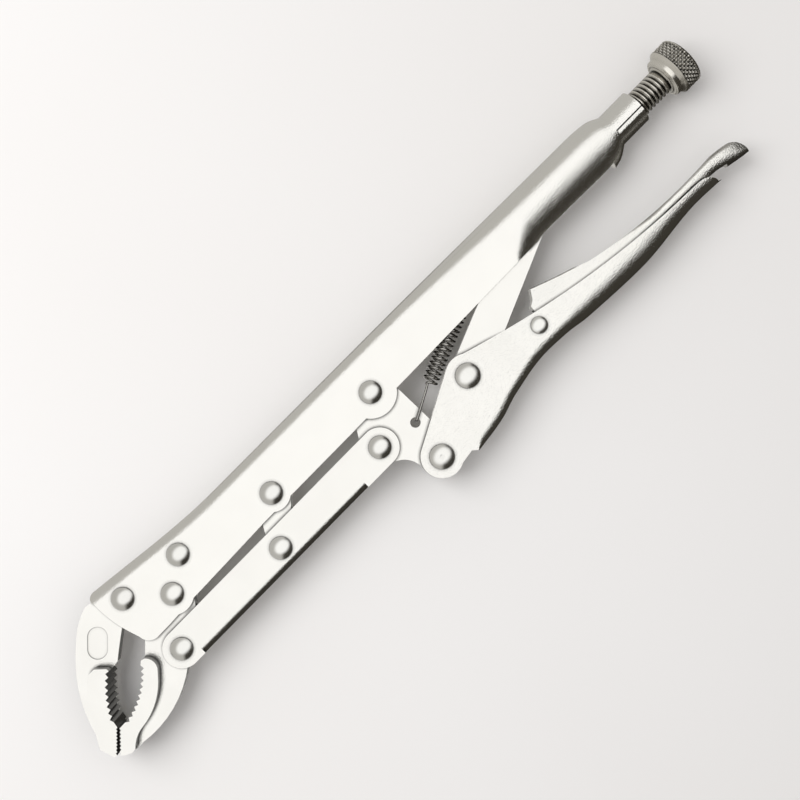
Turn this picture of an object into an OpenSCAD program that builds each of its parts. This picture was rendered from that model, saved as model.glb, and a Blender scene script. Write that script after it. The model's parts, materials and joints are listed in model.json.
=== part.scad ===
// Long-reach locking pliers: two stamped channels, a parallel link bar and a toggle lock.
// The pliers lie on one side. X runs from the jaws to the knob, Y towards the back of the
// upper handle and every pivot axis is along Z.

/* [Pivots] */
// Distance between neighbouring pivots along the upper handle
pivot_pitch = 58.7; // [56:0.1:61]
// Length of the parallel links between the upper handle and the link bar
link_len = 23.15; // [22.5:0.05:23.5]
// Direction of the parallel links, from the upper handle to the link bar
link_angle = -125.7; // [-127:0.1:-124]
// Radius of a rivet's shank
rivet_r = 3; // [2.5:0.1:3.2]
// Radius of a large rivet head
head_r = 4.7; // [4.2:0.1:5]
// Height of a large rivet head
head_h = 2; // [1.5:0.1:2.4]
// Radius of the heads of the lever's two pivot rivets
lever_head_r = 5.2; // [4.7:0.1:5.4]

/* [Plates and sheet] */
// Thickness of the jaws, the rocker, the bell crank and the toggle
plate_t = 6; // [5:0.1:6.1]
// Thickness of the channels' sheet
sheet_t = 2.5; // [2:0.1:2.8]
// Width of the space inside the narrow channels
slot_w = 6.3; // [6.2:0.05:6.6]
// Thickness of the toothed part of the jaws
grip_t = 17; // [14:0.5:19]

/* [Jaws] */
// Pitch of the coarse teeth
coarse_pitch = 2.6; // [2:0.1:3]
// Pitch of the fine teeth near the tips
fine_pitch = 1.5; // [1.2:0.1:1.8]

/* [Handles] */
// Width of the upper handle over the screw
bulge_w = 17.6; // [16.8:0.1:19]
// Width of the lever at the hand grip
grip_w = 15.5; // [15:0.1:17]

/* [Screw] */
// Major radius of the adjusting screw
screw_r = 5.9; // [5:0.05:6]
// Radius of the knob
knob_r = 11.2; // [9:0.1:12]
// Gap between the toggle's nose and the pad on the screw's tip
nose_gap = 4; // [3.8:0.1:6]

/* [Hidden] */
$fn = 64;

e = 0.01;
run = 0.05;                              // radial clearance of a running fit
seat = 0.02;                             // radial clearance of a fixed fit
far = 60;                                // longer than any cut needs to be
narrow_w = slot_w + 2 * sheet_t;         // outer width of the narrow channels
base_z = knob_r;                         // the knob is the thickest piece and touches the table

// Pivots
link = link_len * [cos(link_angle), sin(link_angle)];
p_crank = [-6.3, 11];
p_rocker = p_crank - [pivot_pitch, 0];
p_jaw = p_rocker - [pivot_pitch, 0];
b_jaw = p_jaw + link;
b_rocker = p_rocker + link;
b_crank = p_crank + link;
p_lever = [-4.5, -29];
p_toggle = [27, -13];
p_release = [62.6, -19.4];
p_nose = [95.5, 15.2];
p_hole = [-2.2, -11.2];
f_front = [-139.6, 24.3];
f_rear = [-110.4, 20.8];

// Upper handle
back_kink = [-84, 29.2];
back_front = [-148, 35.3];
taper_x = 8;
bulge_x = 92;
shoulder_x = 128;
neck_x = 142.5;
neck_end = 158;
neck_r = 7.8;
screw_y = 15.8;
slot_x = 133;

// Screw
nose_r = 7;
pad_x = p_nose[0] + nose_r + nose_gap;
pad_t = 2.5;
screw_x = pad_x + pad_t + run;
knob_x = 172.5;
knob_len = 13;

// ---------------------------------------------------------------- geometry helpers

// Circle through three points: [centre x, centre y, radius]
function circle3(a, b, c) =
    let (d = 2 * (a[0] * (b[1] - c[1]) + b[0] * (c[1] - a[1]) + c[0] * (a[1] - b[1])),
        sa = a * a, sb = b * b, sc = c * c,
        x = (sa * (b[1] - c[1]) + sb * (c[1] - a[1]) + sc * (a[1] - b[1])) / d,
        y = (sa * (c[0] - b[0]) + sb * (a[0] - c[0]) + sc * (b[0] - a[0])) / d)
    [x, y, norm(a - [x, y])];

function bearing(from, to) = atan2(to[1] - from[1], to[0] - from[0]);

// Angle wrapped to between -180 and 180
function wrap(a) = a - 360 * round(a / 360);

// Points on the arc from a over b to c
function arc3(a, b, c, n = 8) =
    let (k = circle3(a, b, c), m = [k[0], k[1]],
        a0 = bearing(m, a), mid = wrap(bearing(m, b) - a0), full = wrap(bearing(m, c) - a0),
        sweep = mid * full > 0 ? full : full - sign(full) * 360)
    [for (i = [0:n]) m + k[2] * [cos(a0 + sweep * i / n), sin(a0 + sweep * i / n)]];

// Two round ends joined by their tangents
module bar2d(p, q, rp, rq) {
    hull() {
        translate(p) circle(rp);
        translate(q) circle(rq);
    }
}

// Round lobe as a polygon, which joins an outline that it only just reaches past
module lobe(p, r) hull() translate(p) circle(r);

module plate(t) linear_extrude(t, center = true) children();

// Holes through everything at the given points
module holes(points, r) {
    for (p = points) translate(p) cylinder(r = r, h = far, center = true);
}

module block(x0, x1, y0, y1, w) {
    translate([x0, y0, -w / 2]) cube([x1 - x0, y1 - y0, w]);
}

// Outline of a channel across X at x. Its upper corners are round, with radius r, and its lower
// corners are quarter ellipses, with radii low[0] along Y and low[1] along Z.
function section(x, w, lo, hi, r, low) =
    let (corners = [[hi - r, w / 2 - r, r, r, 0], [lo + low[0], w / 2 - low[1], low[0], low[1], 90],
        [lo + low[0], low[1] - w / 2, low[0], low[1], 180], [hi - r, r - w / 2, r, r, 270]])
    [for (c = corners, i = [0:6])
        [x, c[0] + c[2] * cos(c[4] + 15 * i), c[1] + c[3] * sin(c[4] + 15 * i)]];

// Solid through a list of sections in order of x
module loft(sections) {
    n = len(sections[0]);
    last = len(sections) - 1;
    sides = [for (i = [0:last - 1], j = [0:n - 1])
        let (k = (j + 1) % n, a = i * n, b = a + n)
        each [[a + j, b + j, b + k], [a + j, b + k, a + k]]];
    polyhedron([for (ring = sections, p = ring) p],
        concat(sides, [[for (j = [0:n - 1]) j]], [[for (j = [n - 1:-1:0]) last * n + j]]),
        convexity = 6);
}

// Cutter for a row of V notches along the arc from a over b to c
module notches(a, b, c, pitch, depth) {
    k = circle3(a, b, c);
    m = [k[0], k[1]];
    a0 = bearing(m, a);
    sweep = wrap(bearing(m, c) - a0);
    count = round(abs(sweep) * PI / 180 * k[2] / pitch);
    linear_extrude(far, center = true)
        for (i = [0:count - 1])
            translate(m)
                rotate(a0 + sweep * (i + 0.5) / count)
                    translate([k[2], 0])
                        polygon([[depth, 0], [0, pitch / 2], [-depth, 0], [0, -pitch / 2]]);
}

// Domed rivet through a stack of the given width
module rivet(p, w, r, hr, hh) {
    dome = (hr * hr + hh * hh) / (2 * hh);
    edge = asin(hr / dome);
    translate(p) {
        cylinder(r = r - seat, h = w, center = true);
        for (s = [0, 1]) mirror([0, 0, s])
            translate([0, 0, w / 2])
                rotate_extrude()
                    polygon(concat([[0, 0]], [for (i = [12:-1:0])
                        [dome * sin(edge * i / 12), dome * cos(edge * i / 12) - dome + hh]]));
    }
}

// ---------------------------------------------------------------- upper handle

// Side outline of the handle. Behind bulge_x the shell's own sections give the lower edge.
module handle_side2d() {
    polygon(concat(
        arc3([-149.8, 31], [-149.3, 34.6], back_front, 6),
        [[-140, 40], [neck_x + 5, 40], [neck_x + 5, 0], [bulge_x + 1, 0], [bulge_x, 5.4]],
        [[taper_x, 4.6], [-78, 4.6], [-118, 3.6], [-133, 2.9]],
        arc3([-141, 2.8], [-144, 4.1], [-146, 8.2], 6),
        arc3([-147.4, 12.6], [-149.4, 22], [-149.8, 30], 4)));
    translate(p_jaw) circle(8.9);
    translate(p_rocker) circle(8);
    lobe(p_crank, 11);
}

back_r = 5;                              // outer corners of the back of the narrow part
sharp = [0.5, 0.5];

module handle_shell() {
    intersection() {
        loft([
            section(-153, narrow_w, -20, 35.8, back_r, sharp),
            section(back_kink[0], narrow_w, -20, back_kink[1], back_r, sharp),
            section(taper_x, narrow_w, -20, 28.6, back_r, sharp),
            section(bulge_x - 12, bulge_w - 1.2, 1, 27.7, 8, [1, 1]),
            section(bulge_x, bulge_w, 3.6, 27.5, 8.4, [10, 8]),
            section(shoulder_x, bulge_w, 3, 27, 8.6, [12, 8.6]),
            section(neck_x - 5.5, 16.8, 4.6, 26.1, 8.2, [10, 8.2]),
            section(neck_x, 2 * neck_r - e, screw_y - neck_r, screw_y + neck_r, neck_r - e,
                [neck_r - e, neck_r - e])]);
        plate(far) handle_side2d();
    }
    translate([neck_x - 1, screw_y, 0]) rotate([0, 90, 0]) cylinder(r = neck_r, h = neck_end - neck_x + 1);
}

module handle_hollow() {
    bulge_in = bulge_w - 2 * sheet_t;
    loft([
        section(-160, slot_w, -30, 36.2 - sheet_t, 0.3, sharp),
        section(back_kink[0], slot_w, -30, back_kink[1] - sheet_t, 0.3, sharp),
        section(taper_x, slot_w, -30, 28.6 - sheet_t, 0.3, sharp),
        section(bulge_x - 10, bulge_in - 1.2, -30, 25, 5.4, sharp)]);
    loft([
        section(bulge_x - 11, bulge_in - 1.2, 3.6, 25, 5.5, [8, 5]),
        section(bulge_x, bulge_in - 0.2, 6.2, 24.8, 5.8, [8.5, 5.8]),
        section(slot_x, bulge_in, 6.4, 24.4, 6.1, [9, 6.1])]);
    block(bulge_x - 11, slot_x, -5, 10, 8);
    translate([slot_x - 5, screw_y, 0]) rotate([0, 90, 0]) cylinder(r = screw_r + run, h = far);
}

module upper_handle() {
    color([0.80, 0.79, 0.76])
        difference() {
            handle_shell();
            handle_hollow();
            holes([p_jaw, p_rocker, p_crank, f_front, f_rear], rivet_r);
            translate([neck_x + 0.5, screw_y - 1.8, 0]) cube([far, 0.4, far]);
        }
}

module spring_tab() {
    color([0.45, 0.44, 0.42])
        difference() {
            plate(2) polygon([[54, 25.1], [62, 25.1], [60.4, 11.4], [57, 10.8], [55.6, 12.4]]);
            translate([58, 13.4, 0]) cylinder(r = 1.3, h = far, center = true);
        }
}

// ---------------------------------------------------------------- jaws

fixed_coarse = [[-164.3, 7.3], [-172.9, -1.2], [-177.9, -9]];
fixed_fine = [[-178.4, -11.6], [-182.2, -15.4], [-186.6, -19.6]];
moving_coarse = [[-153.4, -0.4], [-164, -8.9], [-174.6, -12.4]];
moving_fine = [[-178.1, -12.5], [-181.8, -16.3], [-185.9, -20.4]];

// Closed outline of the fixed jaw's toothed part
function fixed_grip() = concat(
    arc3(fixed_coarse[0], fixed_coarse[1], fixed_coarse[2]),
    fixed_fine,
    [[-188, -19.5]],
    arc3([-190, -13], [-185.5, -5.5], [-183.4, -2.6], 4),
    arc3([-182.4, -0.4], [-177.6, 6.5], [-171.4, 12.2], 6),
    [[-168.2, 12.2], [-164.4, 8.6]]);

module fixed_jaw() {
    color([0.78, 0.77, 0.74])
        difference() {
            union() {
                plate(plate_t) polygon(concat(
                    [[-104.5, 28.2], [-148, 32.2]],
                    arc3([-154, 33.2], [-159.5, 31], [-166.4, 26.2], 4),
                    arc3([-171, 22], [-183.4, 6], [-189.6, -11], 8),
                    [[-190.2, -14], [-189.6, -17.5], [-188, -19.5]],
                    [fixed_fine[2], fixed_fine[1], fixed_fine[0]],
                    arc3(fixed_coarse[2], fixed_coarse[1], fixed_coarse[0]),
                    arc3([-160.5, 7.7], [-155.6, 11.5], [-149.3, 16.1], 4),
                    [[-141, 18.4], [-128, 19], [-113, 14], [-104.5, 16]]));
                plate(grip_t) polygon(fixed_grip());
            }
            translate(p_jaw) cylinder(r = 8.8, h = far, center = true);
            holes([f_front, f_rear], rivet_r);
            notches(fixed_coarse[0], fixed_coarse[1], fixed_coarse[2], coarse_pitch, 1.3);
            notches(fixed_fine[0], fixed_fine[1], fixed_fine[2], fine_pitch, 0.6);
            // Shallow oval recess in the side
            translate([0, 0, plate_t / 2 - 0.3]) linear_extrude(far)
                bar2d([-159.2, 20.7], [-162.8, 17.1], 4.3, 4.3);
        }
}

function moving_grip() = concat(
    arc3(moving_coarse[0], moving_coarse[1], moving_coarse[2]),
    moving_fine,
    [[-184.6, -21.8], [-181.6, -23.3]],
    arc3([-179.6, -23.2], [-176.4, -20.6], [-172.6, -19.1], 4),
    arc3([-168, -18.4], [-159.9, -15.4], [-153.2, -10.4], 6),
    arc3([-150.2, -7.2], [-148.5, -3.6], [-150.2, 0.4], 6),
    [[-151.8, 0.9]]);

module moving_jaw() {
    color([0.78, 0.77, 0.74])
        difference() {
            union() {
                plate(plate_t) {
                    bar2d(p_jaw, b_jaw, 8.3, 7.6);
                    polygon(concat(
                        [p_jaw, [-131, 14.8], [-145.6, 6.2], [-150.4, 1.4]],
                        arc3(moving_coarse[0], moving_coarse[1], moving_coarse[2]),
                        moving_fine,
                        [[-184.6, -21.8], [-181, -23.9]],
                        arc3([-177, -23.7], [-157.6, -22.6], [-141, -14.4]),
                        [b_jaw]));
                }
                plate(grip_t) polygon(moving_grip());
            }
            holes([p_jaw, b_jaw], rivet_r + run);
            notches(moving_coarse[0], moving_coarse[1], moving_coarse[2], coarse_pitch, 1.3);
            notches(moving_fine[0], moving_fine[1], moving_fine[2], fine_pitch, 0.6);
        }
}

// ---------------------------------------------------------------- links

module middle_rocker() {
    color([0.72, 0.71, 0.68])
        difference() {
            plate(plate_t) bar2d(p_rocker, b_rocker, 7.8, 5.3);
            holes([p_rocker, b_rocker], rivet_r + run);
        }
}

module bell_crank() {
    color([0.78, 0.77, 0.74])
        difference() {
            plate(plate_t) {
                bar2d(p_crank, b_crank, 9, 8);
                translate(p_lever) circle(9.2);
                polygon(concat([p_crank, b_crank, [-21, -15.7]],
                    arc3([-17.5, -17.9], [-14.6, -21.4], [-13.7, -28], 6),
                    [p_lever, [4.6, -28], [3.1, -15], [2.7, 11]]));
            }
            holes([p_crank, b_crank, p_lever], rivet_r + run);
            translate(p_hole) cylinder(r = 2.2, h = far, center = true);
        }
}

bar_y = b_jaw[1];
bar_r = 8.2;
bar_closed = [-131.5, -34.9];            // the closed back runs between these

module link_bar() {
    color([0.80, 0.79, 0.76])
        difference() {
            intersection() {
                plate(narrow_w) bar2d(b_jaw, b_crank, bar_r, bar_r);
                union() {
                    block(-160, bar_closed[0], -40, 20, narrow_w);
                    block(bar_closed[1], 20, -40, 20, narrow_w);
                    translate([bar_closed[0], 0, 0]) rotate([90, 0, 90])
                        linear_extrude(bar_closed[1] - bar_closed[0]) {
                            round_r = 3;
                            low = bar_y - bar_r;
                            translate([low + round_r, -narrow_w / 2]) square([far, narrow_w]);
                            translate([low, round_r - narrow_w / 2]) square([far, narrow_w - 2 * round_r]);
                            for (s = [-1, 1])
                                translate([low + round_r, s * (narrow_w / 2 - round_r)]) circle(round_r);
                        }
                }
            }
            block(-160, bar_closed[0], -40, 20, slot_w);
            block(-160, 20, bar_y - bar_r + sheet_t, 20, slot_w);
            block(bar_closed[1], 20, -40, 20, slot_w);
            holes([b_jaw, b_rocker, b_crank], rivet_r);
        }
}

module toggle_link() {
    color([0.74, 0.73, 0.70])
        difference() {
            plate(plate_t) bar2d(p_toggle, p_nose, 7.6, nose_r);
            holes([p_toggle], rivet_r + run);
        }
}

// ---------------------------------------------------------------- lever and release

lever_back_x = 8.3;                      // the lever's back is closed from here on
lever_end = 160.2;
lever_low = -38.2;
release_flat = [57, 69];                 // the lever's sides are parallel here
release_outer = 14.7;

// Side outline of the lever as a thick block
module lever_side() {
    plate(far) bar2d(p_lever, p_toggle, 9, 9.3);
    plate(far) polygon(concat(
        [p_lever, p_toggle, [29, -4.2], [36, -6.4]],
        arc3([46, -9.3], [102, -21.2], [150, -25]),
        arc3([152.5, -25.3], [156.6, -27.3], [158.6, -30.8], 4),
        [[lever_end, -31.2]],
        arc3([146, -30.5], [112, -33.3], [80, -31.6]),
        arc3([70, -30.2], [57, -29.4], [42, -31.2], 6),
        [[24, -36.1], [11, -38.2], [lever_back_x, -38], [6, -36], [-4, -37.5]]));
}

// Sections of the lever: [x, width, lowest y, outer corner's radii along Y and Z, sheet, inner radius]
lever_rows = [
    [lever_back_x, narrow_w, lever_low, 4.6, 4.6, sheet_t, 0.5],
    [24, narrow_w, -36.2, 4.6, 4.6, sheet_t, 0.5],
    [36, narrow_w, -32.8, 5, 4.8, sheet_t, 0.5],
    [release_flat[0], release_outer, -29.6, 5.2, 5, sheet_t, 1.5],
    [release_flat[1], release_outer, -30.2, 5.6, 5.4, sheet_t, 1.5],
    [80, grip_w, -31.8, 7.5, 6.4, sheet_t, 2.5],
    [112, grip_w, -33.4, 9, 7.1, sheet_t, 3],
    [146, grip_w - 1.5, -30.7, 6, 6, 2.1, 1.2],
    [lever_end + 1, grip_w - 4, -31.4, 5, 5, 1, 1]];

module lever_shell() {
    block(-20, lever_back_x, -60, 10, narrow_w);
    loft([for (row = lever_rows) section(row[0], row[1], row[2], 10, 1, [row[3], row[4]])]);
}

module lever_hollow() {
    block(-20, lever_back_x + e, -60, 10, slot_w);
    loft([for (row = lever_rows)
        section(row[0], row[1] - 2 * row[5], row[2] + row[5], 12, 1, [row[6], row[6]])]);
}

module lever() {
    color([0.80, 0.79, 0.76])
        difference() {
            intersection() {
                lever_side();
                lever_shell();
            }
            lever_hollow();
            holes([p_lever, p_toggle], rivet_r);
            holes([p_release], 2);
        }
}

release_w = 9;
release_sheet = 1.6;

module release_lever() {
    tail_top = arc3([93.3, -14.5], [122, -20.2], [160, -20.4]);
    tail_under = arc3([160, -22.2], [122, -21.9], [95, -17]);
    color([0.76, 0.75, 0.72])
        difference() {
            union() {
                translate(p_release) cylinder(r = 5.8, h = release_w, center = true);
                plate(release_w) polygon(concat(
                    [p_release + [0, 5.5], [66, -11.7]],
                    arc3([68.4, -10.2], [70.9, -6.6], [72.6, -4.1], 4),
                    [[75.6, -2.8], [79.1, -4.8], [85.8, -10.2]],
                    tail_top,
                    arc3([168, -21], [175, -23.6], [177.4, -29], 6),
                    [[177, -31.4], [173.5, -30.8], [164, -29]],
                    arc3([160, -27.6], [130, -26.6], [95, -25.4]),
                    [p_release + [2, -5.4]]));
            }
            plate(release_w - 2 * release_sheet)
                polygon(concat(
                    [[50, -30], [50, -15.5], [73, -12.5], [80, -10], [86.5, -13]],
                    [for (i = [8:-1:0]) tail_under[i]],
                    [[168, -23], [173.4, -25.6], [174.6, -28], [176, -36], [60, -36]]));
            holes([p_release], 2 + run);
        }
}

// ---------------------------------------------------------------- adjusting screw

module along_screw(x) translate([x, screw_y, 0]) rotate([0, 90, 0]) children();

spigot_r = 4;
spigot_len = 9;
stud_r = 1.5;
stud_len = 3;

module adjusting_screw() {
    color([0.62, 0.60, 0.57])
        difference() {
            union() {
                along_screw(screw_x) cylinder(r1 = screw_r - 1, r2 = screw_r, h = 1);
                along_screw(screw_x + 1) cylinder(r = screw_r, h = knob_x - screw_x - 1);
                along_screw(knob_x - e) cylinder(r = spigot_r, h = spigot_len);
            }
            along_screw(screw_x - e) cylinder(r = stud_r + run, h = stud_len + 0.3);
        }
}

module screw_knob() {
    color([0.66, 0.64, 0.60])
        along_screw(knob_x)
            rotate_extrude()
                polygon([[0, spigot_len + 0.2], [spigot_r + seat, spigot_len + 0.2], [spigot_r + seat, 0],
                    [6.6, 0], [7.6, 0.6], [7.6, 1.4], [9.6, 2.8], [9.6, 3.4], [knob_r - 0.4, 4],
                    [knob_r, 4.6], [knob_r, knob_len - 2.6], [knob_r - 2.4, knob_len], [0, knob_len]]);
}

module thrust_pad() {
    color([0.5, 0.49, 0.47]) {
        along_screw(pad_x) cylinder(r = 4.2, h = pad_t);
        along_screw(pad_x + pad_t - e) cylinder(r = stud_r, h = stud_len);
    }
}

// ---------------------------------------------------------------- return spring

spring_front = [14, -3.6, 0];
spring_rear = [52, 11.3, 0];
spring_r = 3.1;
spring_wire = 0.55;
spring_turns = 19;
coil_steps = 12;
coil_sides = 5;

// Unit vector along v
function unit(v) = v / norm(v);

// Tube along a path, with its frame carried along from ring to ring
module tube(path, r, sides) {
    last = len(path) - 1;
    run_dir = [for (i = [0:last]) unit(path[min(i + 1, last)] - path[max(i - 1, 0)])];
    first_up = unit(cross(run_dir[0], [0.3, 0.5, 0.8]));
    ups = [for (i = 0, u = first_up; i <= last;
        i = i + 1, u = i <= last ? unit(u - (u * run_dir[i]) * run_dir[i]) : u) u];
    rings = [for (i = [0:last], j = [0:sides - 1])
        path[i] + r * (cos(360 * j / sides) * ups[i] + sin(360 * j / sides) * cross(run_dir[i], ups[i]))];
    walls = [for (i = [0:last - 1], j = [0:sides - 1])
        let (k = (j + 1) % sides, a = i * sides, b = a + sides)
        each [[a + j, b + j, b + k], [a + j, b + k, a + k]]];
    polyhedron(rings, concat(walls, [[for (j = [0:sides - 1]) j]],
        [[for (j = [sides - 1:-1:0]) last * sides + j]]), convexity = 10);
}

module return_spring() {
    len = norm(spring_rear - spring_front);
    along = (spring_rear - spring_front) / len;
    across = [-along[1], along[0], 0];
    steps = spring_turns * coil_steps;
    coil = [for (i = [0:steps]) let (a = 90 + 360 * i / coil_steps)
        spring_front + along * (len * i / steps) + spring_r * (cos(a) * across + sin(a) * [0, 0, 1])];
    hook = [p_hole[0], p_hole[1], 0] + 1.4 * along;
    side = plate_t / 2 + spring_wire + 0.1;
    tail = [58, 13.4, 0] - 0.5 * along;
    path = concat(
        [hook + 3 * along + [0, 0, -side], hook + 0.9 * along + [0, 0, -side], hook + [0, 0, 0.8 - side],
            hook + [0, 0, side - 0.8], hook + 0.9 * along + [0, 0, side],
            spring_front - 2.4 * along + 0.3 * across + [0, 0, spring_r + 0.4],
            spring_front - 0.9 * along + 1 * across + [0, 0, spring_r]],
        coil,
        [spring_rear + 1.4 * along - 1 * across + [0, 0, spring_r - 0.2], tail - 2 * along + [0, 0, 2.1],
            tail - 0.6 * along + [0, 0, 1.9], tail + [0, 0, 1.3], tail + [0, 0, -1.8]]);
    color([0.22, 0.21, 0.20]) tube(path, spring_wire, coil_sides);
}

// ---------------------------------------------------------------- assembly

// The origin is under the middle of the pliers
reach_x = [-190.2, knob_x + knob_len];
reach_y = [lever_low, 35.3];

module placed() translate([-(reach_x[0] + reach_x[1]) / 2, -(reach_y[0] + reach_y[1]) / 2, base_z]) children();

module steel_rivet(p, w, head = head_r) color([0.70, 0.69, 0.67]) placed() rivet(p, w, rivet_r, head, head_h);

placed() upper_handle();
placed() fixed_jaw();
steel_rivet(f_front, narrow_w);  // jaw_rivet_front
steel_rivet(f_rear, narrow_w);  // jaw_rivet_rear
steel_rivet(p_jaw, narrow_w);  // pivot_rivet_jaw
steel_rivet(p_rocker, narrow_w);  // pivot_rivet_rocker
steel_rivet(p_crank, narrow_w);  // pivot_rivet_crank
placed() moving_jaw();
placed() middle_rocker();
placed() bell_crank();
placed() link_bar();
steel_rivet(b_jaw, narrow_w);  // bar_rivet_jaw
steel_rivet(b_rocker, narrow_w);  // bar_rivet_rocker
steel_rivet(b_crank, narrow_w);  // bar_rivet_crank
placed() lever();
steel_rivet(p_lever, narrow_w, lever_head_r);  // lever_rivet_crank
steel_rivet(p_toggle, narrow_w, lever_head_r);  // lever_rivet_toggle
color([0.70, 0.69, 0.67]) placed() rivet(p_release, release_outer, 2, 3.5, 1.4);  // lever_rivet_release
placed() toggle_link();
placed() release_lever();
placed() adjusting_screw();
placed() screw_knob();
placed() thrust_pad();
placed() return_spring();
placed() spring_tab();
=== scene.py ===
"""Looks of the long-reach locking pliers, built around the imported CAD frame.

Lengths are in millimetres in the pliers' own drawing frame: +X runs from the jaws to the knob, +Y to the handle's
closed back, and +Z up off the table. place() turns them into the row's metres.
"""

import json
import math

import bmesh
import bpy
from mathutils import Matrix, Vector


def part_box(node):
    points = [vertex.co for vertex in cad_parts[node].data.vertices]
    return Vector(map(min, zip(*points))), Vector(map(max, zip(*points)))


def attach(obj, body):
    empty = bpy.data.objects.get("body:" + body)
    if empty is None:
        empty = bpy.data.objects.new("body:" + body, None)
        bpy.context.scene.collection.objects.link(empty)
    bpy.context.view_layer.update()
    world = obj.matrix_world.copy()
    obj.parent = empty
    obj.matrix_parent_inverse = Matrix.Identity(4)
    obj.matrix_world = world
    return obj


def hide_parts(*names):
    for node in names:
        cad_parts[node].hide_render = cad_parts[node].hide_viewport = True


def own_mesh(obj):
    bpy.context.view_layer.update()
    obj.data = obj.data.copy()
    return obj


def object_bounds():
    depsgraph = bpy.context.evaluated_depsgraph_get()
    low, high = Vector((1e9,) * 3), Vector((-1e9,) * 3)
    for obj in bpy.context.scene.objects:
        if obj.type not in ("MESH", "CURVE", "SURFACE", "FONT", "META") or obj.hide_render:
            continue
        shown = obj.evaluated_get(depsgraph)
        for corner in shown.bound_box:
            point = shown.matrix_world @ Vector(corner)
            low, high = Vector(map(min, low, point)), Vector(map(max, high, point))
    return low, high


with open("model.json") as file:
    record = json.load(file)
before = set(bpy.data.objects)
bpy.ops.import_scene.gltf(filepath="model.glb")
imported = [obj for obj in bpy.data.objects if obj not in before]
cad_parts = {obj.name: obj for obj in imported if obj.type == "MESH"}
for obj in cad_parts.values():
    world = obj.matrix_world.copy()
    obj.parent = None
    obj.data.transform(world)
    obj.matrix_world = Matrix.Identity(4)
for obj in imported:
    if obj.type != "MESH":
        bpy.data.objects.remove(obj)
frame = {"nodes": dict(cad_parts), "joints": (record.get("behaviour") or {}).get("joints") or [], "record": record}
cad_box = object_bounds()
nodes = frame["nodes"]
joints = {joint["name"]: joint for joint in frame["joints"]}
body_of = {node: body for body, group in frame["record"]["behaviour"]["bodies"].items() for node in group}

MM = 0.001
# Keeps faces apart that would otherwise lie on each other
EPS = 0.01
# Outer and inner width of the folded channels where they are narrow, and the handle's sheet
NARROW_W = 11.3
SLOT_W = 6.3
SHEET = 2.5

# The drawing's origin lies near the crank's pivot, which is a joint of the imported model
CRANK = Vector((-6.3, 11.0, 0.0))
ORIGIN = Vector(joints["crank_fold"]["pos_m"]) - CRANK * MM


def place(point):
    """A point of the drawing, in the row's metres."""
    return ORIGIN + Vector(point) * MM


def drawn(point):
    """A point of the row, in the drawing's millimetres."""
    return (Vector(point) - ORIGIN) / MM


def middle_of(node):
    """The middle of a CAD node's box."""
    low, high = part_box(node)
    return drawn((low + high) / 2)


def pivot(joint):
    """Where a joint's axis passes."""
    return drawn(joints[joint]["pos_m"])


# ------------------------------------------------------------------ materials

# Where the values of a noise texture mostly lie
NOISE_RANGE = (0.35, 0.65)
# Object-space scale of the plate's slow change of colour
TINT_SCALE = 70.0
OCCLUSION_SAMPLES = 8
# How far the painted crease shade reaches, and the openness over which it fades out
CREASE_REACH = 1.6 * MM
CREASE_RANGE = (0.5, 0.96)
# How level a face is (the size of its normal's Z) between an upright side, which gets painted shade, and a flat
WALL_RANGE = (0.80, 0.99)


def new_material(name):
    """An empty node material, with its node tree and its principled shader."""
    material = bpy.data.materials.new(name)
    material.use_nodes = True
    tree = material.node_tree
    return material, tree, tree.nodes["Principled BSDF"]


def plug(tree, socket, value):
    """Sets a socket to a number or a colour, or links another node's output to it."""
    if isinstance(value, (int, float)):
        socket.default_value = value
    elif isinstance(value, tuple):
        socket.default_value = (*value, 1)
    else:
        tree.links.new(value, socket)


def math_node(tree, operation, *values):
    """A math node on numbers or outputs."""
    node = tree.nodes.new("ShaderNodeMath")
    node.operation = operation
    for socket, value in zip(node.inputs, values):
        plug(tree, socket, value)
    return node.outputs["Value"]


def mix(tree, factor, first, second, blend="MIX"):
    """Two colours or outputs, mixed or multiplied."""
    node = tree.nodes.new("ShaderNodeMix")
    node.data_type = "RGBA"
    node.blend_type = blend
    for name, value in (("Factor", factor), ("A", first), ("B", second)):
        plug(tree, node.inputs[name], value)
    return node.outputs["Result"]


def map_range(tree, source, start, end, low=0.0, high=1.0, smooth=False):
    """Maps start..end to low..high, and holds the ends."""
    node = tree.nodes.new("ShaderNodeMapRange")
    if smooth:
        node.interpolation_type = "SMOOTHSTEP"
    for name, value in (("From Min", start), ("From Max", end), ("To Min", low), ("To Max", high), ("Value", source)):
        plug(tree, node.inputs[name], value)
    return node.outputs["Result"]


def ramp(tree, source, low, high):
    """A colour ramp from low to high over the noise's range."""
    node = tree.nodes.new("ShaderNodeValToRGB")
    for stop, position, colour in zip(node.color_ramp.elements, NOISE_RANGE, (low, high)):
        stop.position = position
        stop.color = (*colour, 1)
    tree.links.new(source, node.inputs["Fac"])
    return node.outputs["Color"]


def noise(tree, scale, detail=2.0):
    """Noise in object space, with features about 1 / scale across."""
    where = tree.nodes.new("ShaderNodeTexCoord")
    node = tree.nodes.new("ShaderNodeTexNoise")
    node.inputs["Scale"].default_value = scale
    node.inputs["Detail"].default_value = detail
    tree.links.new(where.outputs["Object"], node.inputs["Vector"])
    return node.outputs["Fac"]


def openness(tree, reach):
    """Ambient occlusion: 1 in the open, less where something stands within reach."""
    node = tree.nodes.new("ShaderNodeAmbientOcclusion")
    node.samples = OCCLUSION_SAMPLES
    node.inputs["Distance"].default_value = reach
    return node.outputs["AO"]


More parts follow.
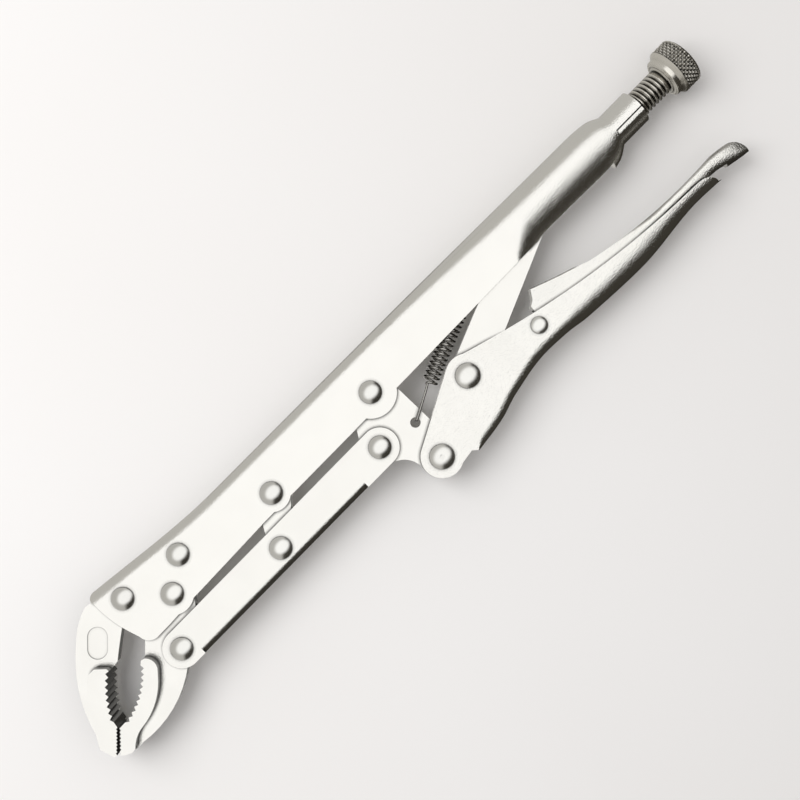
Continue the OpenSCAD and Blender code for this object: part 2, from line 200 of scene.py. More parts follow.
def nickel(name, light, dark, rough, grain, grain_size, crease_shade=0.25, wall_shade=1.0):
    """Nickel plate.

    light and dark are the ends of its colour, and rough of its roughness. grain is the depth of the blasted
    grain and grain_size its width, in mm. The last two multiply the colour in creases and on upright walls,
    as painted shade.
    """
    material, tree, shader = new_material(name)
    shader.inputs["Metallic"].default_value = 1.0
    tint = ramp(tree, noise(tree, TINT_SCALE, 4.0), dark, light)
    # Painted shade: the colour darkens where ambient occlusion finds something close by, as in creases
    shade = map_range(tree, openness(tree, CREASE_REACH), *CREASE_RANGE, crease_shade)
    colour = mix(tree, 1.0, tint, shade, "MULTIPLY")
    # Painted shade on upright sides: the more upright the face, the darker its colour
    if wall_shade < 1.0:
        surface = tree.nodes.new("ShaderNodeNewGeometry")
        split = tree.nodes.new("ShaderNodeSeparateXYZ")
        tree.links.new(surface.outputs["Normal"], split.inputs["Vector"])
        level = math_node(tree, "ABSOLUTE", split.outputs["Z"])
        colour = mix(tree, 1.0, colour, map_range(tree, level, *WALL_RANGE, wall_shade), "MULTIPLY")
    tree.links.new(colour, shader.inputs["Base Color"])
    speckle = noise(tree, 1.0 / (grain_size * MM), 3.0)
    tree.links.new(map_range(tree, speckle, *NOISE_RANGE, *rough), shader.inputs["Roughness"])
    bump = tree.nodes.new("ShaderNodeBump")
    bump.inputs["Distance"].default_value = grain * MM
    tree.links.new(speckle, bump.inputs["Height"])
    tree.links.new(bump.outputs["Normal"], shader.inputs["Normal"])
    return material


# After the grain's width come the painted shade in creases and, in some rows, on upright sides
SATIN = nickel("satin_nickel", (0.87, 0.855, 0.82), (0.855, 0.84, 0.805), (0.14, 0.19), 0.13, 0.6, 0.1)
GRIP = nickel("blasted_nickel", (0.87, 0.855, 0.82), (0.85, 0.835, 0.80), (0.14, 0.20), 0.20, 0.6, 0.1)
JAW = nickel("jaw_nickel", (0.86, 0.845, 0.81), (0.83, 0.815, 0.78), (0.15, 0.22), 0.05, 0.5, 0.08, 0.13)
BAR = nickel("bar_nickel", (0.86, 0.845, 0.81), (0.84, 0.825, 0.79), (0.18, 0.26), 0.10, 0.6, 0.1, 0.85)
LINK = nickel("link_nickel", (0.86, 0.845, 0.81), (0.84, 0.825, 0.79), (0.15, 0.22), 0.05, 0.5, 0.08, 0.22)
RELEASE = nickel("release_nickel", (0.86, 0.845, 0.81), (0.83, 0.815, 0.78), (0.14, 0.20), 0.19, 0.6, 0.1, 0.6)
POLISHED = nickel("polished_nickel", (0.84, 0.83, 0.80), (0.80, 0.79, 0.76), (0.15, 0.20), 0.006, 0.9, 0.1)
TURNED = nickel("turned_nickel", (0.88, 0.85, 0.79), (0.78, 0.75, 0.69), (0.20, 0.28), 0.01, 0.5, 0.12)
SPRING = nickel("spring_steel", (0.50, 0.485, 0.46), (0.34, 0.33, 0.315), (0.10, 0.20), 0.01, 0.4)
DARK = nickel("dark_steel", (0.42, 0.41, 0.40), (0.32, 0.31, 0.30), (0.35, 0.5), 0.02, 0.4)

# ------------------------------------------------------------------ mesh helpers

# Points of a piece that are closer than this are one, and faces that turn by less than this angle are flat
WELD_GAP = 0.004
FLAT_ANGLE = 0.4
# Edges that turn by more than this angle are rounded, in this many facets
EDGE_ANGLE = 35
EDGE_FACETS = 3
# Half the height of a cutter that goes right through
TALL = 30.0
DISC_STEPS = 72
CORNER_STEPS = 10


def new_object(name, points, faces):
    """A smooth-shaded object from drawing points, with its faces turned outwards."""
    mesh = bpy.data.meshes.new(name)
    mesh.from_pydata([place(p) for p in points], [], faces)
    form = bmesh.new()
    form.from_mesh(mesh)
    bmesh.ops.recalc_face_normals(form, faces=form.faces)
    for face in form.faces:
        face.smooth = True
    form.to_mesh(mesh)
    form.free()
    thing = bpy.data.objects.new(name, mesh)
    bpy.context.scene.collection.objects.link(thing)
    return thing


def stand_for(thing, node, material):
    """Gives a new piece its material, makes it ride with its CAD node's body, and hides the node in its place."""
    thing.data.materials.clear()
    thing.data.materials.append(material)
    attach(thing, body_of[node])
    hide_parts(node)


def carve(thing, cutter, operation):
    """Joins, cuts or trims a new piece by a cutter, which is then removed."""
    step = thing.modifiers.new("carve", "BOOLEAN")
    step.operation = operation
    step.solver = "EXACT"
    step.object = cutter
    bpy.context.view_layer.update()
    carved = thing.evaluated_get(bpy.context.evaluated_depsgraph_get())
    mesh = bpy.data.meshes.new_from_object(carved)
    thing.modifiers.clear()
    thing.data = mesh
    bpy.data.objects.remove(cutter)


def soften(thing, width):
    """Rounds a piece's sharp edges, after merging its flats."""
    weld = thing.modifiers.new("weld", "WELD")
    weld.merge_threshold = WELD_GAP * MM
    flat = thing.modifiers.new("flat", "DECIMATE")
    flat.decimate_type = "DISSOLVE"
    flat.angle_limit = math.radians(FLAT_ANGLE)
    edge = thing.modifiers.new("edge", "BEVEL")
    edge.width = width * MM
    edge.segments = EDGE_FACETS
    edge.limit_method = "ANGLE"
    edge.angle_limit = math.radians(EDGE_ANGLE)
    edge.harden_normals = True
    edge.use_clamp_overlap = True
    normals = thing.modifiers.new("normals", "WEIGHTED_NORMAL")
    normals.keep_sharp = True


def mark_creases(thing, angle):
    """Keeps shading sharp across edges that turn by more than angle."""
    form = bmesh.new()
    form.from_mesh(thing.data)
    for edge in form.edges:
        edge.smooth = edge.calc_face_angle(0.0) < math.radians(angle)
    form.to_mesh(thing.data)
    form.free()


def turned(i, steps):
    """The angle after i of a full turn's steps."""
    return 2 * math.pi * i / steps


def prism(points, half=TALL):
    """A straight block over an XY outline."""
    count = len(points)
    bottom = [(p[0], p[1], -half) for p in points]
    top = [(p[0], p[1], half) for p in points]
    sides = [(i, (i + 1) % count, count + (i + 1) % count, count + i) for i in range(count)]
    caps = [tuple(range(count)), tuple(range(2 * count - 1, count - 1, -1))]
    return new_object("cutter", bottom + top, sides + caps)


def disc(centre, radius):
    """A tall round block."""
    angles = [turned(i, DISC_STEPS) for i in range(DISC_STEPS)]
    return prism([(centre[0] + radius * math.cos(a), centre[1] + radius * math.sin(a)) for a in angles])


def block(x0, x1, y0, y1, width):
    """A box, width thick about the middle plane."""
    return prism([(x0, y0), (x1, y0), (x1, y1), (x0, y1)], width / 2)


def arc3(a, b, c, steps):
    """Points on the arc from a over b to c."""
    d = 2 * (a[0] * (b[1] - c[1]) + b[0] * (c[1] - a[1]) + c[0] * (a[1] - b[1]))
    sa, sb, sc = (p[0] ** 2 + p[1] ** 2 for p in (a, b, c))
    x = (sa * (b[1] - c[1]) + sb * (c[1] - a[1]) + sc * (a[1] - b[1])) / d
    y = (sa * (c[0] - b[0]) + sb * (a[0] - c[0]) + sc * (b[0] - a[0])) / d
    radius = math.hypot(a[0] - x, a[1] - y)
    start, over, end = (math.atan2(p[1] - y, p[0] - x) for p in (a, b, c))
    round_trip = 2 * math.pi
    half, full = (over - start) % round_trip, (end - start) % round_trip
    if half > full:
        full -= round_trip
    angles = [start + full * i / steps for i in range(steps + 1)]
    return [(x + radius * math.cos(t), y + radius * math.sin(t)) for t in angles]


def slope_at(slopes, i):
    """A curve's slope at point i, from the slopes of the lines between points. It is level at a peak or dip."""
    if i == 0:
        return slopes[0]
    if i == len(slopes):
        return slopes[-1]
    a, b = slopes[i - 1], slopes[i]
    return 0.0 if a * b <= 0 else 2 * a * b / (a + b)


def eased(rows, x):
    """The row of values at x, on a curve through rows that doesn't overshoot between them."""
    xs = [row[0] for row in rows]
    index = max(0, min(len(rows) - 2, sum(1 for known in xs if known <= x) - 1))
    span = xs[index + 1] - xs[index]
    t = (x - xs[index]) / span
    out = [x]
    for column in range(1, len(rows[0])):
        ys = [row[column] for row in rows]
        slopes = [(ys[i + 1] - ys[i]) / (xs[i + 1] - xs[i]) for i in range(len(xs) - 1)]
        m0, m1 = slope_at(slopes, index) * span, slope_at(slopes, index + 1) * span
        out.append((2 * t**3 - 3 * t**2 + 1) * ys[index] + (t**3 - 2 * t**2 + t) * m0
                   + (3 * t**2 - 2 * t**3) * ys[index + 1] + (t**3 - t**2) * m1)
    return out


def section(x, width, low, high, r, low_y, low_z, bow=1.0):
    """A channel's outline across X, between low and high.

    The upper corners are round, by r. The lower ones are quarter ellipses of low_y by low_z, which a bow above 1
    flattens.
    """
    half = width / 2
    corners = [(high - r, half - r, r, r, 0, 1.0), (low + low_y, half - low_z, low_y, low_z, 90, bow),
               (low + low_y, low_z - half, low_y, low_z, 180, bow), (high - r, r - half, r, r, 270, 1.0)]
    points = []
    for y, z, ry, rz, start, power in corners:
        for i in range(CORNER_STEPS + 1):
            a = math.radians(start + 90 * i / CORNER_STEPS)
            c, s = math.cos(a), math.sin(a)
            points.append((x, y + ry * math.copysign(abs(c) ** power, c), z + rz * math.copysign(abs(s) ** power, s)))
    return points


def skin(name, rings):
    """A closed solid through rings of equally many points."""
    count = len(rings[0])
    points = [p for ring in rings for p in ring]
    faces = []
    for i in range(len(rings) - 1):
        for j in range(count):
            k = (j + 1) % count
            faces.append((i * count + j, i * count + k, (i + 1) * count + k, (i + 1) * count + j))
    faces.append(tuple(range(count)))
    faces.append(tuple(range((len(rings) - 1) * count, len(rings) * count)))
    return new_object(name, points, faces)


def loft(name, rows, spacing=2.0):
    """A solid through sections, eased between the rows."""
    xs = []
    for a, b in zip(rows, rows[1:]):
        pieces = max(1, round((b[0] - a[0]) / spacing))
        xs += [a[0] + (b[0] - a[0]) * i / pieces for i in range(pieces)]
    return skin(name, [section(*eased(rows, x)) for x in xs + [rows[-1][0]]])


def revolve(name, profile, base, axis, steps, shape=None):
    """Turns (radius, distance) pairs about an axis. shape(radius, distance, angle) may change a radius."""
    along = Vector(axis)
    side = Vector((0, 1, 0)) if along.x > 0.5 else Vector((1, 0, 0))
    up = along.cross(side)
    rings = []
    for radius, distance in profile:
        ring = []
        for i in range(steps):
            a = turned(i, steps)
            r = shape(radius, distance, a) if shape else radius
            ring.append(Vector(base) + along * distance + (side * math.cos(a) + up * math.sin(a)) * r)
        rings.append(ring)
    return skin(name, rings)


# ------------------------------------------------------------------ upper handle

JAW_PIVOT = pivot("jaw_pivot")
ROCKER_PIVOT = pivot("rocker_pivot")
SCREW_Y = pivot("screw_turn").y
# The part that swells over the screw: where it is fully wide, its width, and where its hollow ends
BULGE_X = 92.0
BULGE_W = 17.6
BULGE_END = 133
# The neck that wraps round the screw: where it starts and ends, its outer radius and its bore's
NECK_X = 142.5
NECK_END = 157.0
NECK_R = 7.8
NECK_BORE = 6.0
NECK_STEPS = 216
# Its slit: the angle that it lies at, its width in degrees, its depth, and the step beside it, which fades out
SLIT_AT = 100
SLIT_WIDTH = 3.6
SLIT_DEPTH = 1.3
SLIT_STEP = 0.5
SLIT_FADE = 17


def around_screw(x, radius, angle):
    """A point at some radius and angle about the screw's axis."""
    return (x, SCREW_Y + radius * math.cos(angle), radius * math.sin(angle))


def neck_section(x):
    """The sheet wrapped round the screw: along a slit on the upper side, one edge tucks in beside the other."""
    points = []
    for i in range(NECK_STEPS):
        a = turned(i, NECK_STEPS)
        past = (a - math.radians(SLIT_AT)) % (2 * math.pi)
        fading = SLIT_STEP * max(0.0, 1 - past / math.radians(SLIT_FADE))
        tuck = SLIT_DEPTH if past < math.radians(SLIT_WIDTH) else fading
        points.append(around_screw(x, NECK_R - tuck, a))
    return points


def make_handle():
    """The upper handle: a folded channel that swells over the screw and wraps round it at the neck."""
    round_r = NECK_R - EPS
    shell = loft("upper_handle_shell", [
        (-153, NARROW_W, -20, 35.8, 5, 0.5, 0.5, 1.0),
        (-84, NARROW_W, -20, 29.2, 5, 0.5, 0.5, 1.0),
        (8, NARROW_W, -20, 28.6, 5, 0.5, 0.5, 1.0),
        (68, 15.4, -2, 27.9, 7.4, 3, 1.5, 1.0),
        (80, 16.9, 1.4, 27.7, 8.1, 10, 6.5, 1.2),
        (BULGE_X, BULGE_W, 3.6, 27.5, 8.4, 14, 8.4, 1.25),
        (128, BULGE_W, 3, 27, 8.6, 14.5, 8.6, 1.22),
        (137, 16.8, 4.6, 26.1, 8.2, 12, 8.3, 1.1),
        (NECK_X, 2 * NECK_R - EPS, SCREW_Y - NECK_R, SCREW_Y + NECK_R, round_r, round_r, round_r, 1.0)])
    side = prism(
        arc3((-149.8, 31), (-149.3, 34.6), (-148, 35.3), 12)
        + [(-140, 40), (NECK_X + 5, 40), (NECK_X + 5, 0), (BULGE_X + 1, 0), (BULGE_X, 5.4)]
        + [(8, 4.6), (-78, 4.6), (-118, 3.6), (-133, 2.9)]
        + arc3((-141, 2.8), (-144, 4.1), (-146, 8.2), 12)
        + arc3((-147.4, 12.6), (-149.4, 22), (-149.8, 30), 12))
    for centre, radius in ((JAW_PIVOT, 8.9), (ROCKER_PIVOT, 8), (CRANK, 11)):
        carve(side, disc(centre, radius), "UNION")
    carve(shell, side, "INTERSECT")
    carve(shell, skin("cutter", [neck_section(NECK_X - 1), neck_section(NECK_END)]), "UNION")
    inner = BULGE_W - 2 * SHEET
    front = loft("cutter", [
        (-160, SLOT_W, -30, 33.7, 0.3, 0.5, 0.5),
        (-84, SLOT_W, -30, 26.7, 0.3, 0.5, 0.5),
        (8, SLOT_W, -30, 26.1, 0.3, 0.5, 0.5),
        (82, inner - 1.2, -30, 25, 5.4, 0.5, 0.5)], 20.0)
    rear = loft("cutter", [
        (81, inner - 1.2, 3.6, 25, 5.5, 8, 5),
        (BULGE_X, inner - 0.2, 6.2, 24.8, 5.8, 8.5, 5.8),
        (BULGE_END, inner, 6.4, 24.4, 6.1, 9, 6.1)], 4.0)
    open_edge = block(BULGE_X - 11, BULGE_END, -5, 10, 8)
    bore = revolve("cutter", [(NECK_BORE, 0), (NECK_BORE, 40)], (128, SCREW_Y, 0), (1, 0, 0), 64)
    for cutter in (front, rear, open_edge, bore):
        carve(shell, cutter, "DIFFERENCE")
    soften(shell, 0.4)
    stand_for(shell, "upper_handle", SATIN)


# ------------------------------------------------------------------ lever

LEVER_PIVOT = pivot("lever_pivot")
TOGGLE_PIVOT = pivot("toggle_pivot")
# Where the lever's back starts and its channel ends
LEVER_FRONT = 8.33
LEVER_END = 160.2
BOSS_STEPS = 40


def bar_outline(p, q, rp, rq):
    """Two round ends joined by their tangents, as an outline."""
    line = Vector((q[0] - p[0], q[1] - p[1]))
    heading = math.atan2(line.y, line.x)
    lean = math.asin((rp - rq) / line.length)
    points = []
    for centre, radius, start, sweep in ((q, rq, heading - math.pi / 2 + lean, math.pi - 2 * lean),
                                         (p, rp, heading + math.pi / 2 - lean, math.pi + 2 * lean)):
        for i in range(BOSS_STEPS + 1):
            a = start + sweep * i / BOSS_STEPS
            points.append((centre[0] + radius * math.cos(a), centre[1] + radius * math.sin(a)))
    return points


def make_lever():
    """The lever: a channel with a rounded back that widens towards the hand."""
    # Rows of x, width and back, with the size of the back's quarter ellipses, or their radius inside
    outer = [
        (8.3, NARROW_W, -38.2, 0.6, 0.6), (13, NARROW_W, -37.8, 3.6, 3), (24, NARROW_W, -36.2, 4.2, 3.6),
        (36, NARROW_W, -32.8, 4.4, 4), (57, 14.7, -29.6, 4.8, 4.6), (69, 14.7, -30.2, 5.4, 5.2),
        (80, 15.5, -31.8, 7.5, 6.4), (112, 15.5, -33.4, 9, 7.1), (146, 14, -30.7, 6, 6),
        (LEVER_END + 1, 11.5, -31.4, 5, 5)]
    inner = [
        (8.3, SLOT_W, -35.7, 0.5), (24, SLOT_W, -33.7, 0.5), (36, SLOT_W, -30.3, 0.5), (57, 9.7, -27.1, 1.5),
        (69, 9.7, -27.7, 1.5), (80, 10.5, -29.3, 2.5), (112, 10.5, -30.9, 3), (146, 9.8, -28.6, 1.2),
        (LEVER_END + 2, 9.5, -30.4, 1)]
    shell = loft("lever_shell", [(x, w, low, 10, 1, ry, rz) for x, w, low, ry, rz in outer], 1.5)
    carve(shell, block(-20, LEVER_FRONT - EPS, -60, 10, NARROW_W), "UNION")
    side = prism(
        [tuple(LEVER_PIVOT.xy), tuple(TOGGLE_PIVOT.xy), (29, -4.2), (36, -6.4)]
        + arc3((46, -9.3), (102, -21.2), (150, -25), 24)
        + arc3((152.5, -25.3), (156.6, -27.3), (158.6, -30.8), 10)
        + [(LEVER_END, -31.2), (LEVER_END, -50), (LEVER_FRONT, -50), (LEVER_FRONT, -38), (6, -36), (-4, -37.5)])
    carve(side, prism(bar_outline(LEVER_PIVOT, TOGGLE_PIVOT, 9, 9.3)), "UNION")
    carve(shell, side, "INTERSECT")
    hollow = loft("cutter", [(x, w, low, 12, 1, r, r) for x, w, low, r in inner], 3.0)
    carve(shell, hollow, "DIFFERENCE")
    carve(shell, block(-20, LEVER_FRONT + 0.1, -60, 10, SLOT_W), "DIFFERENCE")
    soften(shell, 0.4)
    stand_for(shell, "lever", GRIP)


# ------------------------------------------------------------------ release lever

RELEASE_PIVOT = pivot("release_pivot")
RELEASE_EYE_R = 5.7
RELEASE_W = 9.0
RELEASE_SHEET = 1.6


def make_release():
    """The release lever: a folded sheet with a nose, a rounded back and a tail that bends away."""
    shell = loft("release_lever_shell", [
        (50, RELEASE_W, -34, 2, 0.4, 0.5, 0.5),
        (96, RELEASE_W, -30, -14.4, 0.8, 3, 1),
        (112, RELEASE_W, -27.6, -17.4, 1.6, 5.5, 2.6),
        (130, RELEASE_W, -27, -20.4, 1.8, 4.4, 3.6),
        (148, RELEASE_W, -27.4, -20.8, 1.8, 4.5, 3.8),
        (160, RELEASE_W, -28, -20.7, 1.9, 5, 3.9),
        (167, RELEASE_W - 0.4, -29.6, -21.3, 2, 5.6, 3.6),
        (173, 6.8, -30.8, -22.4, 2, 4, 2.6),
        (178, 3.2, -31.4, -23.6, 1.2, 2, 1.2)], 1.5)
    side = prism(
        [(66, -11.7)]
        + arc3((68.4, -10.2), (70.9, -6.6), (72.6, -4.1), 6)
        + arc3((74.4, -3.0), (76.4, -3.0), (78.4, -4.2), 6)
        + arc3((80.4, -6), (85.8, -10.4), (94, -14.6), 8)
        + arc3((97, -15.7), (128, -20.6), (166, -21), 24)
        + arc3((168, -21.3), (175, -24.2), (177.2, -29.2), 10)
        + [(177, -31.2), (173.5, -30.8), (164, -29)]
        + arc3((160, -27.6), (130, -26.6), (95, -25.4), 16)
        + [(RELEASE_PIVOT.x + 2, RELEASE_PIVOT.y - 5.4)])
    carve(side, disc(RELEASE_PIVOT, RELEASE_EYE_R), "UNION")
    carve(shell, side, "INTERSECT")
    fold = prism(
        [(50, -32), (50, -15.5), (73, -12.5), (80, -10), (86.5, -13)]
        + arc3((95, -17), (122, -21.9), (160, -22.6), 16)
        + [(166, -23.6), (166, -36), (60, -36)], RELEASE_W / 2 - RELEASE_SHEET)
    carve(shell, fold, "DIFFERENCE")
    soften(shell, 0.3)
    stand_for(shell, "release_lever", RELEASE)


# ------------------------------------------------------------------ rivets

# Heads up to this radius are the small kind
SMALL_HEAD = 4.0
# The dome's height and the shank's radius, for large and small heads
HEAD_H, SHANK_R = 1.3, 2.98
SMALL_HEAD_H, SMALL_SHANK_R = 0.8, 1.98
HEAD_RIM = 0.6
HEAD_RINGS = 14
RIVET_STEPS = 64
# The middle ring of a head is this small instead of a point
TIP_R = 0.02
DIMPLE_R = 1.3
DIMPLE_DEPTH = 0.35


def make_rivet(node, dimpled):
    """A polished rivet: its shank with a domed head at each end, with or without a dimple in the middle."""
    low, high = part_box(node)
    reach = (high.z - low.z) / MM / 2
    radius = (high.x - low.x) / MM / 2
    height, shank = (HEAD_H, SHANK_R) if radius > SMALL_HEAD else (SMALL_HEAD_H, SMALL_SHANK_R)
    dome = (radius**2 + height**2) / (2 * height)
    half_angle = math.asin(radius / dome)
    profile = []
    for i in range(HEAD_RINGS + 1):
        a = half_angle * i / HEAD_RINGS
        r = max(dome * math.sin(a), TIP_R)
        dip = DIMPLE_DEPTH * max(0.0, 1 - (r / DIMPLE_R) ** 2) if dimpled else 0.0
        profile.append((r, reach - dome + dome * math.cos(a) - dip))
    profile += [(radius, reach - height - HEAD_RIM), (shank, reach - height - HEAD_RIM)]
    profile += [(r, -distance) for r, distance in reversed(profile)]
    thing = revolve(node + "_domed", profile, middle_of(node), (0, 0, 1), RIVET_STEPS)
    mark_creases(thing, 60)
    stand_for(thing, node, POLISHED)


# ------------------------------------------------------------------ screw and knob

SCREW_R = 5.9
SHOULDER_R = 5.2
SPIGOT_R = 4
SCREW_STEPS = 40
THREAD_PITCH = 2.0
THREAD_DEPTH = 1.25
# One thread's profile: the distance in pitches, and the height in thread depths
THREAD = ((0.0, 0.0), (0.38, 0.92), (0.46, 1.0), (0.56, 1.0), (0.64, 0.92), (0.95, 0.03))

KNOB_R = 10.9
KNOB_LEN = 13.0
KNOB_STEPS = 352
RIM_START = 5.0
RIM_END = 11.7
RIM_ROWS = 34
KNURL_COUNT = 28
# Knurls that a groove crosses in each mm of the knob's length
KNURL_SLANT = 0.42
KNURL_DEPTH = 1.0
# How quickly a groove's wall rises, and the length over which the knurl runs out
KNURL_RISE = 1.25
KNURL_FADE = 0.3


def make_screw():
    """The adjusting screw, with a real helical thread."""
    low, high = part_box("adjusting_screw")
    start, end = drawn(low).x, pivot("screw_turn").x
    rings = []
    count = int((end - start) / THREAD_PITCH * len(THREAD))
    for k in range(count + 1):
        turns, index = divmod(k, len(THREAD))
        offset, height = THREAD[index]
        ring = []
        for j in range(SCREW_STEPS):
            x = start + (turns + offset + j / SCREW_STEPS - 1) * THREAD_PITCH
            x = min(max(x, start), end)
            tip_taper = min(1.0, (x - start) * 0.5 + 0.5)
            r = (SCREW_R - THREAD_DEPTH + THREAD_DEPTH * height) * tip_taper
            ring.append(around_screw(x, r, turned(j, SCREW_STEPS)))
        rings.append(ring)
    for x, radius in ((end, SHOULDER_R), (end + EPS, SPIGOT_R), (drawn(high).x, SPIGOT_R)):
        rings.append([around_screw(x, radius, turned(j, SCREW_STEPS)) for j in range(SCREW_STEPS)])
    thing = skin("adjusting_screw_threaded", rings)
    mark_creases(thing, 50)
    stand_for(thing, "adjusting_screw", TURNED)


def triangle(t):
    """A wave that climbs from 0 to 1 and falls back within each unit of t."""
    return 1 - abs(2 * (t % 1.0) - 1)


def knurl(radius, distance, angle):
    """The knob's radius with two sets of slanting grooves cut into its rim."""
    if not RIM_START <= distance <= RIM_END:
        return radius
    fade = min(1.0, (distance - RIM_START) / KNURL_FADE, (RIM_END - distance) / KNURL_FADE)
    around = KNURL_COUNT * angle / (2 * math.pi)
    a = triangle(around + KNURL_SLANT * distance)
    b = triangle(around - KNURL_SLANT * distance)
    return radius - KNURL_DEPTH * fade * (1 - min(1.0, KNURL_RISE * min(a, b)))


def make_knob():
    """The knob: a turned collar, a diamond-knurled rim and a smooth chamfer."""
    profile = [(4.05, 0.0), (6.3, 0.0), (6.6, 0.15), (6.8, 0.7), (7.2, 0.75), (7.4, 0.45), (7.9, 0.45), (8.1, 0.85),
               (8.7, 1.0), (8.95, 1.25), (9.05, 1.7), (9.05, 3.0), (9.2, 3.25), (10.3, 4.3), (10.7, 4.65)]
    profile += [(KNOB_R, RIM_START + (RIM_END - RIM_START) * i / RIM_ROWS) for i in range(RIM_ROWS + 1)]
    profile += [(10.75, 12.1), (10.4, 12.5), (9.9, 12.8), (9.3, 12.95), (8.6, KNOB_LEN), (0.05, KNOB_LEN)]
    thing = revolve("screw_knob_knurled", profile, pivot("screw_turn"), (1, 0, 0), KNOB_STEPS, knurl)
    mark_creases(thing, 70)
    stand_for(thing, "screw_knob", TURNED)


# ------------------------------------------------------------------ return spring

SPRING_FRONT = Vector((14, -3.6, 0))
SPRING_REAR = Vector((52, 11.3, 0))
SPRING_TAIL = Vector((58, 13.4, 0))
SPRING_HOLE = Vector((-2.2, -11.2, 0))
SPRING_R = 3.1
SPRING_WIRE = 0.55
SPRING_TURNS = 19
COIL_STEPS = 24
WIRE_SIDES = 10
BEND_STEPS = 6
# How far the hook through the crank reaches from the middle plane, and how far inside that its bends start
HOOK_REACH = 3.65
HOOK_BEND = 0.8


def rounded(points):
    """A smooth curve through points."""
    out = []
    for i in range(len(points) - 1):
        a, b = points[max(i - 1, 0)], points[i]
        c, d = points[i + 1], points[min(i + 2, len(points) - 1)]
        for k in range(BEND_STEPS):
            t = k / BEND_STEPS
            out.append(0.5 * (2 * b + (c - a) * t + (2 * a - 5 * b + 4 * c - d) * t**2
                              + (3 * b - a - 3 * c + d) * t**3))
    return out + [points[-1]]


def tube(name, path, radius):
    """A round wire along a path, with its frame carried along."""
    rings = []
    up = Vector((0.3, 0.5, 0.8))
    for i, point in enumerate(path):
        heading = (path[min(i + 1, len(path) - 1)] - path[max(i - 1, 0)]).normalized()
        up = (up - heading * up.dot(heading)).normalized()
        other = heading.cross(up)
        angles = [turned(j, WIRE_SIDES) for j in range(WIRE_SIDES)]
        rings.append([point + radius * (up * math.cos(a) + other * math.sin(a)) for a in angles])
    return skin(name, rings)


def make_spring():
    """The return spring: an open coil, hooked through the crank and to the tab in the handle."""
    along = (SPRING_REAR - SPRING_FRONT).normalized()
    across = Vector((-along.y, along.x, 0))
    up = Vector((0, 0, 1))
    length = (SPRING_REAR - SPRING_FRONT).length
    steps = SPRING_TURNS * COIL_STEPS
    coil = []
    for i in range(steps + 1):
        a = math.pi / 2 + turned(i, COIL_STEPS)
        coil.append(SPRING_FRONT + along * (length * i / steps) + SPRING_R * (across * math.cos(a) + up * math.sin(a)))
    hook = SPRING_HOLE + 1.4 * along
    tail = SPRING_TAIL - 0.5 * along
    head = rounded([
        hook + 3 * along - up * HOOK_REACH,
        hook + 0.9 * along - up * HOOK_REACH,
        hook + up * (HOOK_BEND - HOOK_REACH),
        hook + up * (HOOK_REACH - HOOK_BEND),
        hook + 0.9 * along + up * HOOK_REACH,
        SPRING_FRONT - 2.4 * along + 0.3 * across + up * (SPRING_R + 0.4),
        SPRING_FRONT - 0.9 * along + across + up * SPRING_R,
        coil[0]])
    rear = rounded([
        coil[-1],
        SPRING_REAR + 1.4 * along - across + up * (SPRING_R - 0.2),
        tail - 2 * along + up * 2.1,
        tail - 0.6 * along + up * 1.9,
        tail + up * 1.3,
        tail - up * 1.8])
    wire = tube("return_spring_wire", head[:-1] + coil + rear[1:], SPRING_WIRE)
    stand_for(wire, "return_spring", SPRING)
    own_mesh(wire)


# ------------------------------------------------------------------ all pieces


def dress(node, material, width):
    """Gives a CAD node that keeps its shape a material, and rounds its edges."""
    thing = nodes[node]
    thing.data.materials.clear()
    thing.data.materials.append(material)
    soften(thing, width)


make_handle()
make_lever()
make_release()
make_screw()
make_knob()
make_spring()
for name in nodes:
    if "rivet" in name:
        make_rivet(name, dimpled=name == "lever_rivet_crank")
dress("link_bar", BAR, 0.4)
dress("fixed_jaw", JAW, 0.26)
dress("moving_jaw", JAW, 0.26)
dress("bell_crank", LINK, 0.4)
dress("middle_rocker", LINK, 0.4)
dress("toggle_link", LINK, 1.2)
dress("spring_tab", DARK, 0.2)
dress("thrust_pad", DARK, 0.3)

# ------------------------------------------------------------------ floor, lights, surroundings and camera

floor_z = cad_box[0].z
centre = (cad_box[0] + cad_box[1]) / 2

FLOOR_REACH = 3.0
FLOOR_TINT = ((0.90, 0.885, 0.87), (0.92, 0.91, 0.90))
# The contact shadow: how far it reaches, the openness over which it fades out, and the least brightness
CONTACT_REACH = 9 * MM
CONTACT_RANGE = (0.1, 0.4)
CONTACT_LEAST = 0.3

SOFTBOX_AT = Vector((-0.32, 0.50, 0.85))
SOFTBOX_SIZE = 0.8
SOFTBOX_POWER = 6.8

# What the metal mirrors: a bright panel in a room that is pale, and dark towards one side
PALE = (0.52, 0.51, 0.485)
GLOOM = (0.040, 0.036, 0.029)
DARK_SIDE = (0.6, -0.8)
DARK_RANGE = (0.02, 0.32)
# The panel's middle and half size, as tangents of the angle from straight up
PANEL_X = (0.10, 0.95)
PANEL_Y = (0.0, 0.62)
PANEL_EDGE = 0.34
PANEL = (1.14, 1.14, 1.13)
# What lights everything that isn't mirrored
AMBIENT = (0.54, 0.53, 0.525)

CAMERA_TURN = math.radians(-45.5)
CAMERA_UP = 0.515
CAMERA_SPAN = 0.3361
SENSOR = 36.0


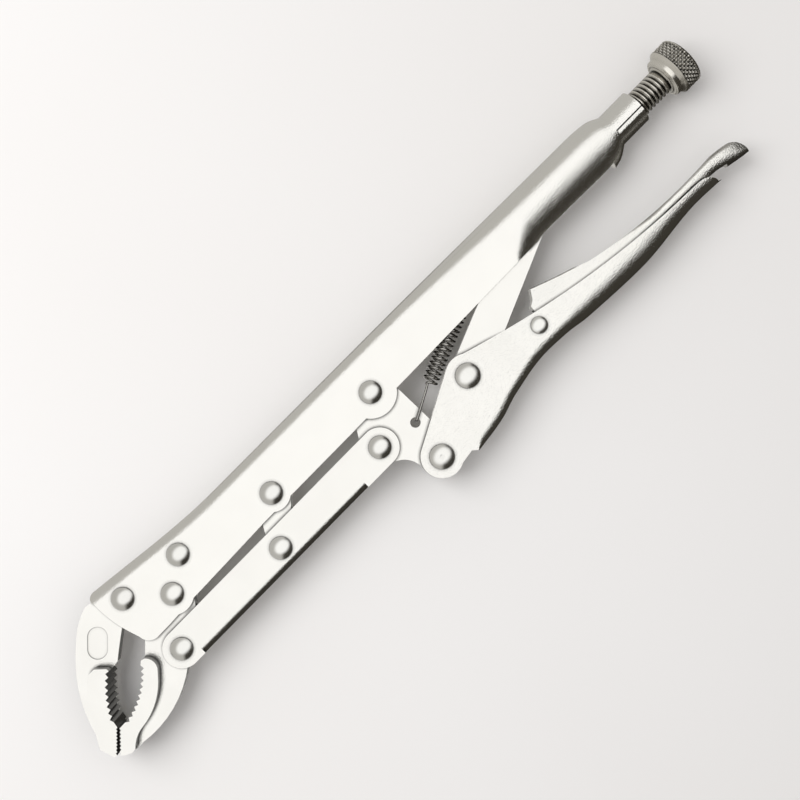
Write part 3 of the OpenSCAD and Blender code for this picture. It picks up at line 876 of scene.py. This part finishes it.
def make_floor():
    """A plain pale sheet that the pliers lie on."""
    mesh = bpy.data.meshes.new("floor")
    corners = [(x * FLOOR_REACH, y * FLOOR_REACH, floor_z) for x, y in ((-1, -1), (1, -1), (1, 1), (-1, 1))]
    mesh.from_pydata(corners, [], [(0, 1, 2, 3)])
    floor = bpy.data.objects.new("floor", mesh)
    bpy.context.scene.collection.objects.link(floor)
    material, tree, shader = new_material("floor_white")
    shader.inputs["Roughness"].default_value = 0.7
    tint = ramp(tree, noise(tree, 3.0), *FLOOR_TINT)
    shade = map_range(tree, openness(tree, CONTACT_REACH), *CONTACT_RANGE, CONTACT_LEAST)
    tree.links.new(mix(tree, 1.0, tint, shade, "MULTIPLY"), shader.inputs["Base Color"])
    mesh.materials.append(material)
    floor.visible_glossy = False


def make_softbox():
    """A soft light on the floor, from behind the handle's back. The metal mirrors the world's panel instead."""
    data = bpy.data.lights.new("softbox", "AREA")
    data.size = SOFTBOX_SIZE
    data.energy = SOFTBOX_POWER
    lamp = bpy.data.objects.new("softbox", data)
    lamp.location = SOFTBOX_AT
    lamp.visible_glossy = False
    lamp.rotation_euler = (centre - lamp.location).to_track_quat("-Z", "Y").to_euler()
    bpy.context.scene.collection.objects.link(lamp)


def make_world():
    """Even light on everything, and for mirrored rays the panel in its room."""
    world = bpy.data.worlds.new("studio")
    bpy.context.scene.world = world
    world.use_nodes = True
    tree = world.node_tree
    where = tree.nodes.new("ShaderNodeTexCoord")
    split = tree.nodes.new("ShaderNodeSeparateXYZ")
    tree.links.new(where.outputs["Generated"], split.inputs["Vector"])
    toward_dark = math_node(tree, "ADD", math_node(tree, "MULTIPLY", split.outputs["X"], DARK_SIDE[0]),
                            math_node(tree, "MULTIPLY", split.outputs["Y"], DARK_SIDE[1]))
    room = mix(tree, map_range(tree, toward_dark, *DARK_RANGE, smooth=True), PALE, GLOOM)
    height = math_node(tree, "MAXIMUM", split.outputs["Z"], 0.01)
    squares = []
    for axis, (middle, half) in (("X", PANEL_X), ("Y", PANEL_Y)):
        across = math_node(tree, "DIVIDE", split.outputs[axis], height)
        off = math_node(tree, "DIVIDE", math_node(tree, "SUBTRACT", across, middle), half)
        squares.append(math_node(tree, "MULTIPLY", off, off))
    reach = math_node(tree, "SQRT", math_node(tree, "ADD", *squares))
    on_panel = map_range(tree, reach, 1 + PANEL_EDGE, 1 - PANEL_EDGE, smooth=True)
    studio = mix(tree, on_panel, room, PANEL)
    rays = tree.nodes.new("ShaderNodeLightPath")
    seen = mix(tree, rays.outputs["Is Glossy Ray"], AMBIENT, studio)
    tree.links.new(seen, tree.nodes["Background"].inputs["Color"])


def make_camera():
    """Looks straight down on the pliers, turned so that the jaws are at the lower left."""
    data = bpy.data.cameras.new("camera")
    data.sensor_width = SENSOR
    data.lens = SENSOR * CAMERA_UP / CAMERA_SPAN
    camera = bpy.data.objects.new("camera", data)
    camera.location = ORIGIN + Vector((0, 0, CAMERA_UP))
    camera.rotation_euler = (0, 0, CAMERA_TURN)
    bpy.context.scene.collection.objects.link(camera)
    bpy.context.scene.camera = camera


make_floor()
make_world()
make_softbox()
make_camera()
bpy.context.scene.view_settings.view_transform = "Standard"
